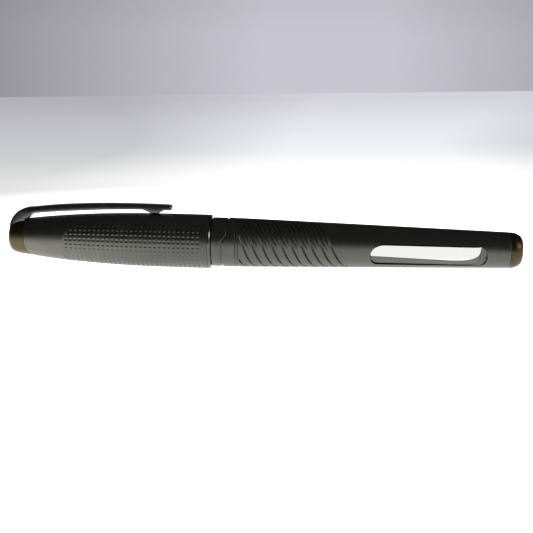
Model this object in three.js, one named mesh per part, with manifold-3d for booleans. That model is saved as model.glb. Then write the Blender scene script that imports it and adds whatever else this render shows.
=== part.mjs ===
// A capped rollerball pen, lying on its side, with its sprung clip on top.
// Units are millimetres. The pen's axis runs along +X from the cap's crown to the barrel's end.
// Every profile is a list of [station, radius] pairs. A station is a distance along the pen, and the
// crown is near 0.

import * as THREE from "three";
import { mergeVertices } from "three/addons/utils/BufferGeometryUtils.js";
import Module from "manifold-3d";

// ---- Driving dimensions ----

const CROWN_FACE = 1.0;
const CROWN_JOINT = 5.5;
const CAP_RADIUS = 7.32;
const CAP_FULL_STATION = 46.0;
const CAP_MOUTH = 56.4;
const LIP_WIDTH = 0.8;

const BARREL_START = 56.6;
const BARREL_RADIUS = 6.7;
const BARREL_END = 139.3;
const END_PLUG_JOINT = 135.9;

const CLIP_START = 0.7;
const CLIP_END = 45.4;
const CLIP_WIDTH = 4.2;
const CLIP_TIP_WIDTH = 3.5;
const FOOT_CLEARANCE = 0.1;

const PIVOT_STATION = 3.9;
const PIVOT_HEIGHT = 2.3;
const PIVOT_PIN_RADIUS = 0.5;

const TIP_STATION = 12.9;
const BALL_RADIUS = 0.35;
const REFILL_RADIUS = 3.0;
const REFILL_END = 123.1;

const FIT = 0.05; // between fixed pieces that seat on each other
const RUNNING = 0.15; // between pieces that move past each other
const THREAD_PITCH = 0.75;

const ROUND = 32; // sides of a large turned piece
const SMALL_ROUND = 24; // sides of a small turned piece

// ---- Colours ----

const GUNMETAL = { color: 0x5a5954, roughness: 0.34, metalness: 1.0 };
const BRONZE = { color: 0x6f6548, roughness: 0.3, metalness: 1.0 };
const MIRROR_STEEL = { color: 0xc9c9c4, roughness: 0.06, metalness: 1.0 };
const BRASS = { color: 0xb29a5c, roughness: 0.35, metalness: 1.0 };
const SPRING_STEEL = { color: 0x9a9b9e, roughness: 0.3, metalness: 1.0 };
const TUBE_STEEL = { color: 0xb9babb, roughness: 0.25, metalness: 1.0 };
const CARBIDE = { color: 0x8c8e92, roughness: 0.15, metalness: 1.0 };
const BLACK_RESIN = { color: 0x151515, roughness: 0.3, metalness: 0.0 };
const LINER_PLASTIC = { color: 0x1c1c1d, roughness: 0.55, metalness: 0.0 };
const REFILL_PLASTIC = { color: 0x20242c, roughness: 0.4, metalness: 0.0 };
const INK_FIBRE = { color: 0x1b1f3a, roughness: 0.9, metalness: 0.0 };
const RUBBER = { color: 0x0e0e0e, roughness: 0.8, metalness: 0.0 };

// ---- Shape helpers ----

const wasm = await Module();
wasm.setup();

// A closed geometry as a solid that can be cut and joined.
function solid(geometry) {
  const bare = geometry.clone();
  bare.deleteAttribute("normal");
  bare.deleteAttribute("uv");
  const merged = mergeVertices(bare, 1e-4);
  const index = merged.index.array;
  const triangles = [];
  for (let i = 0; i < index.length; i += 3) {
    const [a, b, c] = index.slice(i, i + 3);
    if (a !== b && b !== c && c !== a) triangles.push(a, b, c);
  }
  return new wasm.Manifold(
    new wasm.Mesh({
      numProp: 3,
      vertProperties: merged.attributes.position.array,
      triVerts: new Uint32Array(triangles),
    }),
  );
}

// A solid back as a geometry that a mesh can hold.
function shell(manifold) {
  const mesh = manifold.getMesh();
  const geometry = new THREE.BufferGeometry();
  geometry.setAttribute("position", new THREE.BufferAttribute(mesh.vertProperties, 3));
  geometry.setIndex(new THREE.BufferAttribute(mesh.triVerts, 1));
  geometry.computeVertexNormals();
  return geometry;
}

// Turns a closed profile about the pen's axis.
function revolve(profile, sides) {
  const points = profile.map(([station, radius]) => new THREE.Vector2(radius, station));
  return new THREE.LatheGeometry(points, sides).rotateZ(-Math.PI / 2);
}

// A turned piece with a hole through it, from its outside and its inside, both in order of station.
function tube(outside, inside, sides = ROUND) {
  return revolve([...outside, ...inside.toReversed(), outside[0]], sides);
}

// A turned piece that is solid to the axis.
function bar(outside, sides = ROUND) {
  const first = outside[0][0];
  const last = outside.at(-1)[0];
  return revolve([[first, 0], ...outside, [last, 0]], sides);
}

// A turned cup: closed at its first station, open at its last.
function cupOf(outside, inside, sides = ROUND) {
  const face = [outside[0][0], 0];
  const floor = [inside[0][0], 0];
  return revolve([face, ...outside, ...inside.toReversed(), floor], sides);
}

// Stations spread evenly between two ends, each with the radius that a formula gives.
function along(from, to, steps, radiusAt) {
  return Array.from({ length: steps + 1 }, (_, i) => {
    const station = from + ((to - from) * i) / steps;
    return [station, radiusAt(station)];
  });
}

// An outline of station and height, given a width across the pen.
function slab(outline, width) {
  const settings = { depth: width, bevelEnabled: false, curveSegments: 6 };
  const geometry = new THREE.ExtrudeGeometry(outline, settings);
  return geometry.rotateX(Math.PI / 2).translate(0, width / 2, 0);
}

// A block from its two corners: [station, across, height].
function block(low, high) {
  const size = high.map((value, i) => value - low[i]);
  const centre = high.map((value, i) => (value + low[i]) / 2);
  return new THREE.BoxGeometry(...size).translate(...centre);
}

// A round bar across the pen.
function crossBar(radius, length, station, height) {
  return new THREE.CylinderGeometry(radius, radius, length, SMALL_ROUND).translate(station, 0, height);
}

class Helix extends THREE.Curve {
  constructor(from, to, radius, turns, height) {
    super();
    Object.assign(this, { from, to, radius, turns, height });
  }
  getPoint(t, target = new THREE.Vector3()) {
    const angle = 2 * Math.PI * this.turns * t;
    return target.set(
      this.from + (this.to - this.from) * t,
      this.radius * Math.sin(angle),
      this.height + this.radius * Math.cos(angle),
    );
  }
}

// A coil spring along the pen, wound from round wire between two stations.
function coilSpring({ from, to, radius, wire, turns, height = 0, stepsPerTurn = 10 }) {
  const section = new THREE.Shape().absarc(0, 0, wire, 0, 2 * Math.PI);
  const extrudePath = new Helix(from + wire, to - wire, radius, turns, height);
  const steps = Math.round(turns * stepsPerTurn);
  return new THREE.ExtrudeGeometry(section, { steps, extrudePath, curveSegments: 3 });
}

const pen = new THREE.Group();
pen.position.set(-(CLIP_START + BARREL_END) / 2, 0, CAP_RADIUS);

function add(name, geometry, finish) {
  const mesh = new THREE.Mesh(geometry, new THREE.MeshStandardMaterial(finish));
  mesh.name = name;
  pen.add(mesh);
}

// ---- Outside form ----

// The cap swells from its crown to full width, then runs straight to its mouth.
function capRadius(station) {
  const short = Math.max(0, CAP_FULL_STATION - station) / (CAP_FULL_STATION - CROWN_JOINT);
  return CAP_RADIUS - 2.3 * short ** 2.3;
}

// The barrel tapers almost evenly towards its end.
function barrelRadius(station) {
  return BARREL_RADIUS - 0.0194 * Math.max(0, station - 61) ** 1.06;
}

// ---- Cap ----

const CAP_WALL = 0.9;
const LINER_WALL = 0.65;
const HEAD_BORE = 4.25;
const HEAD_END = 11.0;
const LIP_START = CAP_MOUTH - LIP_WIDTH;
const LIP_BORE = 6.35;

const capBore = (station) => capRadius(station) - CAP_WALL;
const linerOutside = (station) => capBore(station) - FIT;
const linerInside = (station) => linerOutside(station) - LINER_WALL;

add(
  "cap_shell",
  tube(
    along(CROWN_JOINT + FIT, LIP_START - 0.02, 12, capRadius),
    [
      [CROWN_JOINT + FIT, HEAD_BORE],
      [HEAD_END, HEAD_BORE],
      ...along(HEAD_END, LIP_START - 0.02, 7, capBore),
    ],
  ),
  GUNMETAL,
);

add(
  "cap_lip_ring",
  tube(
    [[LIP_START, CAP_RADIUS], [CAP_MOUTH - 0.3, CAP_RADIUS], [CAP_MOUTH, CAP_RADIUS - 0.35]],
    [[LIP_START, LIP_BORE], [CAP_MOUTH, LIP_BORE]],
  ),
  GUNMETAL,
);

add(
  "cap_liner",
  tube(
    along(HEAD_END + 0.2, LIP_START - 0.2, 6, linerOutside),
    along(HEAD_END + 0.2, LIP_START - 0.2, 6, linerInside),
  ),
  LINER_PLASTIC,
);

// ---- Crown: finial, clip carrier, pivot and clip spring ----

const SLOT_WIDTH = CLIP_WIDTH + 0.3;
const SLOT_FLOOR = 1.4;
const TANG_WIDTH = 2.4;
const EAR_OUTSIDE = 2.3;
const EAR_RADIUS = 0.9;
const TAIL_HEIGHT = -0.5;
const TAIL_FACE = 3.5;
const CARRIER_RADIUS = HEAD_BORE - 0.07;
const BOSS_START = 4.6;
const BOSS_RADIUS = 4.0;
const CARRIER_SHOULDER = CROWN_JOINT + 0.1;
const SPRING_BORE = 1.4;
const SPRING_SEAT = 7.6;

const finialOutside = [
  [CROWN_FACE, 3.2],
  [1.15, 3.5],
  [1.4, 3.8],
  [1.9, 4.2],
  [2.6, 4.5],
  [3.7, 4.76],
  [4.7, 4.92],
  [CROWN_JOINT, 5.02],
];
const finialInside = [
  [1.9, 2.9],
  [2.6, 3.6],
  [3.4, 3.92],
  [4.2, 4.05],
  [CROWN_JOINT, 4.15],
];

// The finial is a cup that closes the crown, with a slot in its top for the clip's root.
function finial() {
  const cup = solid(cupOf(finialOutside, finialInside));
  const slot = solid(block([0, -SLOT_WIDTH / 2, SLOT_FLOOR], [CROWN_JOINT + 1, SLOT_WIDTH / 2, 8]));
  return shell(cup.subtract(slot));
}

// The carrier is pressed into the cap's head. Its two ears hold the clip's pivot pin.
function clipCarrier() {
  const body = solid(
    bar([
      [BOSS_START, BOSS_RADIUS],
      [CARRIER_SHOULDER, BOSS_RADIUS],
      [CARRIER_SHOULDER, CARRIER_RADIUS],
      [HEAD_END - 0.1, CARRIER_RADIUS],
    ]),
  );
  const earShape = new THREE.Shape();
  earShape.moveTo(CARRIER_SHOULDER, PIVOT_HEIGHT + EAR_RADIUS);
  earShape.lineTo(PIVOT_STATION, PIVOT_HEIGHT + EAR_RADIUS);
  earShape.absarc(PIVOT_STATION, PIVOT_HEIGHT, EAR_RADIUS, Math.PI / 2, (3 * Math.PI) / 2);
  earShape.lineTo(CARRIER_SHOULDER, PIVOT_HEIGHT - EAR_RADIUS);
  const ears = solid(slab(earShape, 2 * EAR_OUTSIDE));
  const slotEnd = CROWN_JOINT - 0.1;
  const strapFloor = PIVOT_HEIGHT + EAR_RADIUS + 0.1;
  const tangSide = TANG_WIDTH / 2 + 0.1;
  const tangSlot = solid(block([0, -tangSide, -2.2], [slotEnd, tangSide, 9]));
  const strapRoom = solid(block([0, -SLOT_WIDTH / 2, strapFloor], [slotEnd, SLOT_WIDTH / 2, 9]));
  const pinHole = solid(crossBar(PIVOT_PIN_RADIUS + 0.03, 8, PIVOT_STATION, PIVOT_HEIGHT));
  const springDrill = bar([[0, SPRING_BORE], [SPRING_SEAT, SPRING_BORE]], SMALL_ROUND);
  const springBore = solid(springDrill.translate(0, 0, TAIL_HEIGHT));
  const cuts = [tangSlot, strapRoom, pinHole, springBore];
  return shell(cuts.reduce((left, cut) => left.subtract(cut), body.add(ears)));
}

add("cap_finial", finial(), BRONZE);
add("clip_carrier", clipCarrier(), BRASS);
add(
  "clip_pivot_pin",
  crossBar(PIVOT_PIN_RADIUS, 2 * EAR_OUTSIDE - 0.1, PIVOT_STATION, PIVOT_HEIGHT),
  SPRING_STEEL,
);
add(
  "clip_spring",
  coilSpring({
    from: TAIL_FACE + 0.1,
    to: SPRING_SEAT - 0.05,
    radius: 1.05,
    wire: 0.18,
    turns: 5,
    height: TAIL_HEIGHT,
  }),
  SPRING_STEEL,
);

// ---- Clip ----

// The side view of the sprung strap: it wraps over the crown, runs along the cap and ends in a foot.
function strapOutline() {
  const arcRadius = 6.17;
  const arcStation = CLIP_START + arcRadius;
  const arcHeight = 2.0;
  const footFloor = capRadius(40.5) + FOOT_CLEARANCE;
  const outline = new THREE.Shape();
  outline.moveTo(CLIP_END, 9.7);
  outline.splineThru([
    new THREE.Vector2(37, 9.85),
    new THREE.Vector2(26, 9.58),
    new THREE.Vector2(15, 8.96),
    new THREE.Vector2(arcStation, arcHeight + arcRadius),
  ]);
  outline.absarc(arcStation, arcHeight, arcRadius, Math.PI / 2, Math.PI);
  outline.lineTo(1.9, arcHeight);
  outline.lineTo(1.9, 3.0);
  outline.lineTo(2.8, 3.7);
  outline.lineTo(3.8, 3.7);
  outline.lineTo(3.9, 4.6);
  outline.lineTo(4.3, 5.2);
  outline.lineTo(5.4, 5.35);
  outline.quadraticCurveTo(5.6, 6.45, 7.2, 6.76);
  outline.splineThru([
    new THREE.Vector2(14, 7.5),
    new THREE.Vector2(25, 8.22),
    new THREE.Vector2(33, 8.55),
    new THREE.Vector2(37.35, 8.62),
  ]);
  outline.lineTo(39.6, footFloor + 0.25);
  outline.lineTo(39.9, footFloor);
  outline.lineTo(41.5, footFloor);
  outline.lineTo(41.8, footFloor + 0.25);
  outline.lineTo(43.4, 8.62);
  outline.lineTo(CLIP_END - 0.15, 8.45);
  return outline;
}

// The narrow tang inside the crown: it turns on the pivot pin, and its tail takes the spring's push.
function tangOutline() {
  const outline = new THREE.Shape();
  outline.moveTo(2.4, 4.0);
  outline.lineTo(2.4, 1.5);
  outline.lineTo(2.6, -1.7);
  outline.lineTo(TAIL_FACE, -1.7);
  outline.lineTo(TAIL_FACE, 0.9);
  outline.lineTo(4.8, 1.8);
  outline.lineTo(4.8, 2.8);
  outline.lineTo(3.8, 4.0);
  return outline;
}

function clip() {
  const plan = new THREE.Shape();
  plan.moveTo(0, -CLIP_WIDTH / 2);
  plan.lineTo(8, -CLIP_WIDTH / 2);
  plan.lineTo(CLIP_END - 0.6, -CLIP_TIP_WIDTH / 2);
  plan.lineTo(CLIP_END + 1, -CLIP_TIP_WIDTH / 2 + 0.9);
  plan.lineTo(CLIP_END + 1, CLIP_TIP_WIDTH / 2 - 0.9);
  plan.lineTo(CLIP_END - 0.6, CLIP_TIP_WIDTH / 2);
  plan.lineTo(8, CLIP_WIDTH / 2);
  plan.lineTo(0, CLIP_WIDTH / 2);
  const planCut = solid(new THREE.ExtrudeGeometry(plan, { depth: 14, bevelEnabled: false }));
  const strap = solid(slab(strapOutline(), CLIP_WIDTH + 1)).intersect(planCut);
  const tang = solid(slab(tangOutline(), TANG_WIDTH));
  const pinHole = solid(crossBar(PIVOT_PIN_RADIUS + 0.05, 8, PIVOT_STATION, PIVOT_HEIGHT));
  return shell(strap.add(tang).subtract(pinHole));
}

add("clip", clip(), GUNMETAL);

// ---- Writing section ----

const SECTION_FRONT = 22.3;
const SECTION_REAR = 55.6;
const SECTION_BORE = REFILL_RADIUS + RUNNING;
const SNAP_RING_RADIUS = 5.45;
const FLANGE_RADIUS = 5.95;
const SPIGOT_RADIUS = 4.0;
const SPIGOT_START = 51.6;
const NOSE_SPIGOT = 3.6;
const THREAD_START = 61.2;
const THREAD_RIDGES = 5;
const THREAD_CREST = 4.6;
const THREAD_ROOT = 4.2;

add(
  "grip_section",
  tube(
    [
      [SECTION_FRONT, 3.95],
      [23.2, 4.1],
      [30, 4.32],
      [40, 4.72],
      [48, 5.02],
      [50.9, 5.12],
      [50.9, 4.85],
      [52.3, 4.85],
      [52.3, 5.15],
      [SECTION_REAR, 5.2],
    ],
    [
      [SECTION_FRONT, NOSE_SPIGOT + FIT],
      [27.0, NOSE_SPIGOT + FIT],
      [27.0, SECTION_BORE],
      [SPIGOT_START - 0.1, SECTION_BORE],
      [SPIGOT_START - 0.1, SPIGOT_RADIUS + FIT],
      [SECTION_REAR, SPIGOT_RADIUS + FIT],
    ],
  ),
  BLACK_RESIN,
);

add(
  "section_nose_cone",
  tube(
    [[15.4, 1.6], [15.6, 1.75], [22.2, 3.9], [22.2, NOSE_SPIGOT], [26.8, NOSE_SPIGOT]],
    [[15.4, 1.3], [17.5, 1.3], [19.0, 2.35], [21.5, 3.05], [26.8, 3.05]],
  ),
  GUNMETAL,
);

// A male thread stands as plain ridges, one for each turn.
function threadRidges() {
  return Array.from({ length: THREAD_RIDGES }, (_, i) => {
    const start = THREAD_START + i * THREAD_PITCH;
    return [[start, THREAD_ROOT], [start + THREAD_PITCH / 2, THREAD_CREST]];
  }).flat();
}

add(
  "section_thread",
  tube(
    [
      [SPIGOT_START, SPIGOT_RADIUS],
      [56.6, SPIGOT_RADIUS],
      [57.1, 4.5],
      [57.2, 3.9],
      [58.2, 3.9],
      [58.3, 4.5],
      [60.5, 4.5],
      [60.7, THREAD_ROOT],
      ...threadRidges(),
      [THREAD_START + THREAD_RIDGES * THREAD_PITCH, THREAD_ROOT],
      [66.4, THREAD_ROOT],
    ],
    [[SPIGOT_START, SECTION_BORE], [66.4, SECTION_BORE]],
  ),
  BRASS,
);

add(
  "section_flange_ring",
  tube(
    [[SECTION_REAR + 0.1, FLANGE_RADIUS - 0.2], [SECTION_REAR + 0.3, FLANGE_RADIUS], [56.5, FLANGE_RADIUS]],
    [[SECTION_REAR + 0.1, SPIGOT_RADIUS + FIT], [56.5, SPIGOT_RADIUS + FIT]],
  ),
  GUNMETAL,
);

add(
  "cap_snap_ring",
  tube(
    [[51.0, 5.2], [51.3, SNAP_RING_RADIUS], [51.9, SNAP_RING_RADIUS], [52.2, 5.2]],
    [[51.0, 4.9], [52.2, 4.9]],
  ),
  SPRING_STEEL,
);

add(
  "section_o_ring",
  new THREE.TorusGeometry(4.38, 0.4, 8, ROUND).rotateY(Math.PI / 2).translate(57.7, 0, 0),
  RUBBER,
);

// ---- Refill ----

const TIP_SHANK = 1.2;
const TIP_END = 21.0;
const TUBE_START = 27.15;
const TUBE_END = 122.6;
const TUBE_BORE = 2.6;
const BALL_STATION = TIP_STATION + 0.15;
const SOCKET_RADIUS = BALL_RADIUS + 0.03;
const INK_CHANNEL = 0.12;

// The tip's socket wraps just past the ball's equator, and an ink channel runs back from it.
function socketProfile() {
  const rim = Math.acos((TIP_STATION - BALL_STATION) / SOCKET_RADIUS);
  const back = Math.asin(INK_CHANNEL / SOCKET_RADIUS);
  const steps = 6;
  return Array.from({ length: steps + 1 }, (_, i) => {
    const angle = rim + ((back - rim) * i) / steps;
    return [BALL_STATION + SOCKET_RADIUS * Math.cos(angle), SOCKET_RADIUS * Math.sin(angle)];
  });
}

add(
  "refill_tip",
  tube(
    [[TIP_STATION, 0.43], [13.4, 0.6], [15.2, TIP_SHANK], [TIP_END, TIP_SHANK]],
    [...socketProfile(), [TIP_END, INK_CHANNEL]],
    SMALL_ROUND,
  ),
  TUBE_STEEL,
);

add(
  "rollerball",
  new THREE.SphereGeometry(BALL_RADIUS, 16, 12).translate(BALL_STATION, 0, 0),
  CARBIDE,
);

add(
  "refill_nose",
  tube(
    [
      [19.0, 1.9],
      [19.6, 2.2],
      [26.2, 2.2],
      [26.4, 2.9],
      [TUBE_START - 0.1, 2.9],
      [TUBE_START - 0.1, TUBE_BORE - FIT],
      [29.0, TUBE_BORE - FIT],
    ],
    [
      [19.0, TIP_SHANK + FIT],
      [TIP_END + 0.1, TIP_SHANK + FIT],
      [TIP_END + 0.1, 0.6],
      [29.0, 0.6],
    ],
    SMALL_ROUND,
  ),
  REFILL_PLASTIC,
);

add(
  "refill_tube",
  tube(
    [[TUBE_START, REFILL_RADIUS], [TUBE_END, REFILL_RADIUS]],
    [[TUBE_START, TUBE_BORE], [TUBE_END, TUBE_BORE]],
    SMALL_ROUND,
  ),
  TUBE_STEEL,
);

add("ink_reservoir", bar([[29.6, 2.45], [118.8, 2.45]], SMALL_ROUND), INK_FIBRE);

add(
  "refill_end_plug",
  tube(
    [[119.4, TUBE_BORE - FIT], [TUBE_END + 0.1, TUBE_BORE - FIT], [TUBE_END + 0.1, 2.9], [REFILL_END, 2.9]],
    [[119.4, 0.4], [REFILL_END, 0.4]],
    SMALL_ROUND,
  ),
  REFILL_PLASTIC,
);

// ---- Barrel ----

const SEAM_TOP = 60.75;
const SEAM_SIDE = 59.3;
const SEAM_GAP = 0.5;
const SEAM_TURN_START = 66; // degrees round from the top where the seam leaves its upper station
const SEAM_TURN_END = 84;
const SLEEVE_BORE = 5.92;
const BUSH_RADIUS = SLEEVE_BORE - 0.07;
const BUSH_END = 68.0;
const FRONT_BORE = 4.9;
const BORE_STEP = 96.5;
const REAR_BORE = 3.9;
const PLATE_START = 98.9;
const PLATE_END = 129.7;
const PLATE_FACING = 108.5; // degrees round from the top, towards the near side
const PLATE_HALF_WIDTH = 2.8;
const PLATE_DEPTH = 0.35;
const PLATE_PROUD = 0.04;

// How far the seam runs ahead of its side station, for a point at this place round the barrel.
function seamJog(y, z) {
  const fromTop = THREE.MathUtils.radToDeg(Math.acos(z / Math.hypot(y, z)));
  const turned = (fromTop - SEAM_TURN_START) / (SEAM_TURN_END - SEAM_TURN_START);
  return (SEAM_TOP - SEAM_SIDE) * (1 - THREE.MathUtils.clamp(turned, 0, 1));
}

// Shifts the edge that a turned piece has at one station, so that it follows the stepped seam.
function followSeam(geometry, station) {
  const place = geometry.attributes.position;
  for (let i = 0; i < place.count; i++) {
    if (Math.abs(place.getX(i) - station) < 1e-3)
      place.setX(i, station + seamJog(place.getY(i), place.getZ(i)));
  }
  return geometry;
}

const collarEdge = SEAM_SIDE - SEAM_GAP / 2;
const shellEdge = SEAM_SIDE + SEAM_GAP / 2;

const collarRadius = BARREL_RADIUS - 0.07;

add(
  "front_collar",
  followSeam(
    tube(
      [
        [BARREL_START, collarRadius - 0.18],
        [BARREL_START + 0.2, collarRadius],
        [collarEdge, collarRadius],
      ],
      [[BARREL_START, SLEEVE_BORE], [collarEdge, SLEEVE_BORE]],
    ),
    collarEdge,
  ),
  GUNMETAL,
);

add(
  "barrel_bush",
  tube(
    [[57.0, BUSH_RADIUS], [BUSH_END, BUSH_RADIUS]],
    [[57.0, 4.95], [60.6, 4.95], [60.9, 4.75], [65.1, 4.75], [65.4, 4.95], [BUSH_END, 4.95]],
  ),
  BRASS,
);

// The outline of the inlaid plate, unrolled: square-cornered softly at its front and round at its rear.
function plateOutline(grow) {
  const start = PLATE_START - grow;
  const end = PLATE_END + grow;
  const half = PLATE_HALF_WIDTH + grow;
  const outline = new THREE.Shape();
  outline.moveTo(start + 2.2, half);
  outline.quadraticCurveTo(start, half, start, 0.1);
  outline.quadraticCurveTo(start, -half, start + 1.8, -half);
  outline.lineTo(end - 1.9, -half);
  outline.quadraticCurveTo(end, -half, end, 0);
  outline.quadraticCurveTo(end, half, end - 1.9, half);
  return outline;
}

// A block of that outline, standing out from the pen's axis where the plate is.
function plateBlock(grow) {
  const depth = BARREL_RADIUS + 1;
  const settings = { depth, bevelEnabled: false, curveSegments: 6 };
  const geometry = new THREE.ExtrudeGeometry(plateOutline(grow), settings);
  return solid(geometry.rotateX(THREE.MathUtils.degToRad(PLATE_FACING)));
}

// A turned skin between two depths under the barrel's surface, along the plate.
function barrelSkin(outward, inward) {
  const from = PLATE_START - 1;
  const to = PLATE_END + 1;
  return solid(
    tube(
      along(from, to, 4, (station) => barrelRadius(station) + outward),
      along(from, to, 4, (station) => barrelRadius(station) - inward),
    ),
  );
}

add("inlay_plate", shell(barrelSkin(PLATE_PROUD, PLATE_DEPTH).intersect(plateBlock(0))), MIRROR_STEEL);

function barrelShell() {
  const turned = tube(
    [[shellEdge, BARREL_RADIUS], ...along(61.8, END_PLUG_JOINT, 9, barrelRadius)],
    [
      [shellEdge, SLEEVE_BORE],
      [BUSH_END + 0.1, SLEEVE_BORE],
      [BUSH_END + 0.1, FRONT_BORE],
      [BORE_STEP, FRONT_BORE],
      [BORE_STEP + 1, REAR_BORE],
      [END_PLUG_JOINT, REAR_BORE],
    ],
  );
  const pocket = barrelSkin(1, PLATE_DEPTH + 0.06).intersect(plateBlock(0.1));
  return shell(solid(followSeam(turned, shellEdge)).subtract(pocket));
}

add("barrel_shell", barrelShell(), GUNMETAL);

// ---- Barrel end ----

const STUB_RADIUS = 2.8;
const STUB_START = 131.0;
const PLUG_RADIUS = barrelRadius(END_PLUG_JOINT);
const END_FACE_RADIUS = 3.1;

add(
  "end_bush",
  tube(
    [[129.0, REAR_BORE - FIT], [135.6, REAR_BORE - FIT]],
    [[129.0, STUB_RADIUS + 0.1], [135.6, STUB_RADIUS + 0.1]],
  ),
  BRASS,
);

add(
  "end_plug",
  bar([
    [STUB_START, STUB_RADIUS],
    [END_PLUG_JOINT + 0.05, STUB_RADIUS],
    [END_PLUG_JOINT + 0.05, PLUG_RADIUS],
    [137.2, PLUG_RADIUS - 0.08],
    [137.9, 4.45],
    [138.5, 4.15],
    [139.0, 3.7],
    [BARREL_END, END_FACE_RADIUS],
  ]),
  BRONZE,
);

add(
  "refill_spring",
  coilSpring({ from: REFILL_END + 0.1, to: STUB_START - 0.1, radius: 2.0, wire: 0.25, turns: 6 }),
  SPRING_STEEL,
);

export default pen;
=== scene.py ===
import math
import bpy
import numpy as np
from mathutils import Matrix, Vector


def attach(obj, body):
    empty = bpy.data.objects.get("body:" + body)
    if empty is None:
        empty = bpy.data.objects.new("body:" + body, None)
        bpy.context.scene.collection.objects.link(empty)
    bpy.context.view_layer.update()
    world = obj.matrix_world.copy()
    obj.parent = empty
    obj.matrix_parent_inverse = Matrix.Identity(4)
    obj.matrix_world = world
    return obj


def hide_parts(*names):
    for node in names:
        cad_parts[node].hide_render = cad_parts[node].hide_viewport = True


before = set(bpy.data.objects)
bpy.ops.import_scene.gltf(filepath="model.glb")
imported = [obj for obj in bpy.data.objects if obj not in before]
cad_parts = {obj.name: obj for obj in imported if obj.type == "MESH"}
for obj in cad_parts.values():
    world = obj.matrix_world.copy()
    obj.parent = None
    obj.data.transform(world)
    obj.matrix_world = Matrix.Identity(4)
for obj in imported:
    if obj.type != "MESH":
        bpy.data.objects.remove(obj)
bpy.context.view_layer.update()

# Stations run along the pen in mm from the crown, heights and radii are in mm from its axis.
# Angles go round the pen in degrees from the clip at the top towards the near side, -Y.
AXIS_HEIGHT = 7.32
ORIGIN_STATION = 70.0


# ---- Mesh helpers ----

def to_frame(station, side, height):
    return np.stack(
        [(station - ORIGIN_STATION) * 0.001, side * 0.001, (height + AXIS_HEIGHT) * 0.001], axis=-1
    )


def new_object(name, points, faces, sharp=32.0, merge=False):
    mesh = bpy.data.meshes.new(name)
    mesh.from_pydata(points.reshape(-1, 3).tolist(), [], faces)
    piece = bpy.data.objects.new(name, mesh)
    bpy.context.scene.collection.objects.link(piece)
    if merge:
        weld = piece.modifiers.new("weld", "WELD")
        weld.merge_threshold = 1e-7
        settle(piece)
    smooth(piece, sharp)
    return piece


def smooth(piece, sharp):
    mesh = piece.data
    mesh.polygons.foreach_set("use_smooth", np.ones(len(mesh.polygons), bool))
    mesh.set_sharp_from_angle(angle=math.radians(sharp))
    mesh.update()


def settle(piece):
    """Turns the piece's modifiers into its mesh."""
    graph = bpy.context.evaluated_depsgraph_get()
    made = bpy.data.meshes.new_from_object(piece.evaluated_get(graph))
    piece.modifiers.clear()
    old = piece.data
    made.name = piece.name
    piece.data = made
    bpy.data.meshes.remove(old)


def cut(piece, tool, sharp=32.0):
    """Takes the tool's volume out of the piece."""
    bite = piece.modifiers.new("cut", "BOOLEAN")
    bite.operation = "DIFFERENCE"
    bite.object = tool
    bite.solver = "EXACT"
    settle(piece)
    bpy.data.objects.remove(tool)
    smooth(piece, sharp)


def sweep(name, stations, radii, angles, closed=True, sharp=32.0):
    """A grid wrapped round the axis: rows along the profile, columns round the pen."""
    angles = np.radians(np.asarray(angles, float))
    rows, columns = stations.shape
    points = to_frame(stations, -radii * np.sin(angles), radii * np.cos(angles))
    last = rows if closed else rows - 1
    i, j = np.meshgrid(np.arange(last), np.arange(columns), indexing="ij")
    below, right = (i + 1) % rows, (j + 1) % columns
    quads = np.stack(
        [i * columns + j, i * columns + right, below * columns + right, below * columns + j], axis=-1
    )
    return new_object(name, points, quads.reshape(-1, 4).tolist(), sharp, merge=not closed)


def rounded(profile, radius=0.08, steps=4, closed=True):
    """Softens every corner of a profile."""
    profile = [np.array(p, float) for p in profile]
    out = []
    for k, corner in enumerate(profile):
        if not closed and k in (0, len(profile) - 1):
            out.append(corner)
            continue
        before, after = profile[k - 1], profile[(k + 1) % len(profile)]
        a = corner + (before - corner) * min(radius / np.linalg.norm(before - corner), 0.45)
        b = corner + (after - corner) * min(radius / np.linalg.norm(after - corner), 0.45)
        for t in np.linspace(0, 1, steps):
            out.append((1 - t) ** 2 * a + 2 * t * (1 - t) * corner + t * t * b)
    return np.array(out)


def spun(profile, count):
    """Stations and radii of a profile of (station, radius) points, repeated over a number of columns."""
    return np.repeat(profile[:, :1], count, axis=1), np.repeat(profile[:, 1:], count, axis=1)


def turned(name, outside, inside=None, edge=0.08, sides=120, sharp=32.0):
    """A lathed piece: a tube where it has an inside, a solid bar where it has none."""
    if inside is None:
        loop = [(outside[0][0], 0.0), *outside, (outside[-1][0], 0.0)]
        profile = rounded(loop, edge, closed=False)
    else:
        profile = rounded([*outside, *reversed(inside)], edge)
    angles = np.arange(sides) * 360.0 / sides
    return sweep(name, *spun(profile, sides), angles, closed=inside is not None, sharp=sharp)


def box_tool(low, high):
    """A block between two corners given as (station, side, height)."""
    x, y, z = zip(low, high)
    corners = np.array([(a, b, c) for a in x for b in y for c in z], float)
    faces = [(0, 1, 3, 2), (4, 6, 7, 5), (0, 4, 5, 1), (2, 3, 7, 6), (0, 2, 6, 4), (1, 5, 7, 3)]
    return new_object("tool", to_frame(*corners.T), faces)


def spline(points, steps=10):
    """A smooth curve through the points."""
    points = [np.array(p, float) for p in points]
    out = []
    for k in range(len(points) - 1):
        p0, p1 = points[max(k - 1, 0)], points[k]
        p2, p3 = points[k + 1], points[min(k + 2, len(points) - 1)]
        v0, v1 = (p2 - p0) / 2, (p3 - p1) / 2
        for t in np.arange(steps) / steps:
            out.append(
                (2 * p1 - 2 * p2 + v0 + v1) * t ** 3
                + (-3 * p1 + 3 * p2 - 2 * v0 - v1) * t ** 2 + v0 * t + p1
            )
    out.append(points[-1])
    return out


# ---- Materials ----

def grey(value, tint=(1.0, 1.0, 1.0)):
    return (value * tint[0], value * tint[1], value * tint[2], 1.0)


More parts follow.
